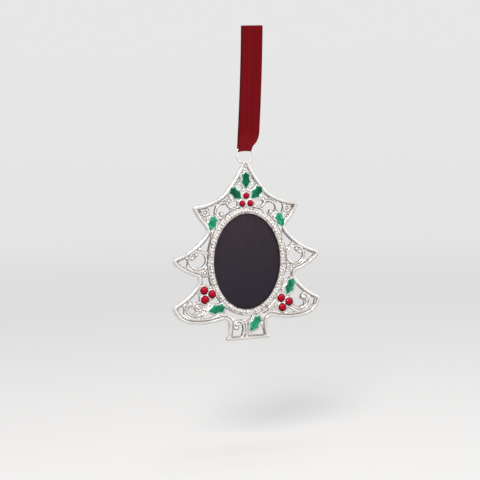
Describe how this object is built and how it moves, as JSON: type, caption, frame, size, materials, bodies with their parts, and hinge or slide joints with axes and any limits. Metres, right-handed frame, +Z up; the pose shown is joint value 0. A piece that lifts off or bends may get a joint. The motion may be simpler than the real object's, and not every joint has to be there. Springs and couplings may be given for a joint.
{
  "type": "tree photo frame ornament",
  "caption": "Flat openwork tree ornament with an oval beaded photo opening, enamel leaves and crystal berries, hung from a wire ring on a folded ribbon loop.",
  "frame": {"origin": "the point inside the top of the ribbon's loop where a hook or twig carries it", "axes": "+Z up along the ornament, -Y out of its front, +X to the right seen from the front"},
  "size_m": [0.0722, 0.0033, 0.1444],
  "materials": {
    "silver": "silver-plated casting, polished on its raised lines and dark in its recesses",
    "green_enamel": "glossy translucent green enamel over engraved leaf veins",
    "red_crystal": "faceted clear red crystal with a foiled back",
    "clear_window": "clear polished sheet",
    "navy_card": "smooth navy card",
    "silver_back": "plated pressed plate, satin",
    "ring_wire": "plated round wire",
    "red_ribbon": "deep red satin ribbon"
  },
  "bodies": {
    "ribbon": {"ribbon": "red_ribbon"},
    "ring": {"hanging_ring": "ring_wire"},
    "tree": {"tree_casting": "silver", "enamel_crown_right": "green_enamel", "enamel_crown_left": "green_enamel", "enamel_crown_top": "green_enamel", "enamel_shoulder_right": "green_enamel", "enamel_shoulder_left": "green_enamel", "enamel_lower_left": "green_enamel", "enamel_lower_right": "green_enamel", "enamel_trunk": "green_enamel", "crystal_crown_right": "red_crystal", "crystal_crown_left": "red_crystal", "crystal_crown_top": "red_crystal", "crystal_left_upper": "red_crystal", "crystal_left_inner": "red_crystal", "crystal_left_lower": "red_crystal", "crystal_right_upper": "red_crystal", "crystal_right_outer": "red_crystal", "crystal_right_lower": "red_crystal", "window": "clear_window", "photo_insert": "navy_card"},
    "back_cover": {"back_cover": "silver_back"}
  },
  "joints": [
    {"name": "ring_turn", "type": "hinge", "parent": "ribbon", "child": "ring", "pos_m": [-0.0046, 0, -0.05795], "axis": [0, 1, 0], "range_deg": [-45, 45]},
    {"name": "tree_swing", "type": "hinge", "parent": "ring", "child": "tree", "pos_m": [-0.0046, 0, -0.0619], "axis": [1, 0, 0], "range_deg": [-75, 75]},
    {"name": "back_cover_pull", "type": "slide", "parent": "tree", "child": "back_cover", "axis": [0, 1, 0], "range_m": [0, 0.006]}
  ]
}
